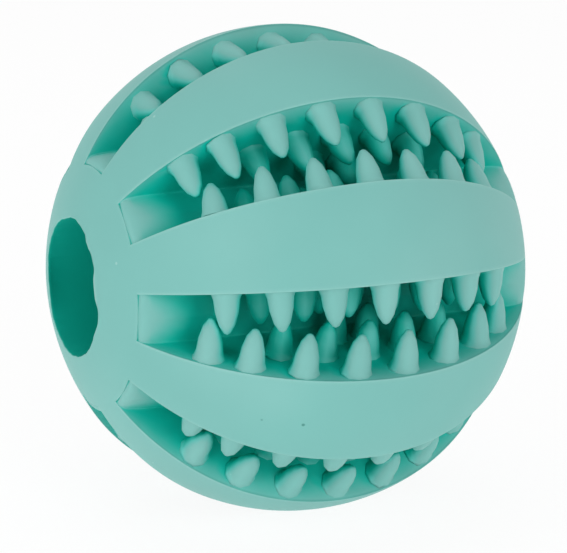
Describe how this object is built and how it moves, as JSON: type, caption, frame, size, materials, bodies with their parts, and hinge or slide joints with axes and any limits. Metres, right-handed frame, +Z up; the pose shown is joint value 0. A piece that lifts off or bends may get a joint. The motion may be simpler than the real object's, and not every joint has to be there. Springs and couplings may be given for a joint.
{
  "type": "dog chew ball",
  "caption": "Rubber chew ball for a dog, bored through along one axis, with deep grooves round it lined by soft pointed nubs that clean teeth and hold treats.",
  "frame": {"origin": "middle of the ball, on the bore axis", "axes": "+X along the bore, +Z up through the middle of a groove, -Y through the middle of the groove that faces the picture's camera"},
  "size_m": [0.0654, 0.0684, 0.0684],
  "materials": {
    "mint_rubber": "matt mint-green natural rubber, paler on the worn outside and deeper in the grooves"
  },
  "bodies": {
    "root": {"core_tube": "mint_rubber", "rib_1": "mint_rubber", "nub_strip_1_upper": "mint_rubber", "nub_strip_1_lower": "mint_rubber", "rib_2": "mint_rubber", "nub_strip_2_upper": "mint_rubber", "nub_strip_2_lower": "mint_rubber", "rib_3": "mint_rubber", "nub_strip_3_upper": "mint_rubber", "nub_strip_3_lower": "mint_rubber", "rib_4": "mint_rubber", "nub_strip_4_upper": "mint_rubber", "nub_strip_4_lower": "mint_rubber", "rib_5": "mint_rubber", "nub_strip_5_upper": "mint_rubber", "nub_strip_5_lower": "mint_rubber", "rib_6": "mint_rubber", "nub_strip_6_upper": "mint_rubber", "nub_strip_6_lower": "mint_rubber", "rib_7": "mint_rubber", "nub_strip_7_upper": "mint_rubber", "nub_strip_7_lower": "mint_rubber", "rib_8": "mint_rubber", "nub_strip_8_upper": "mint_rubber", "nub_strip_8_lower": "mint_rubber"}
  },
  "joints": []
}
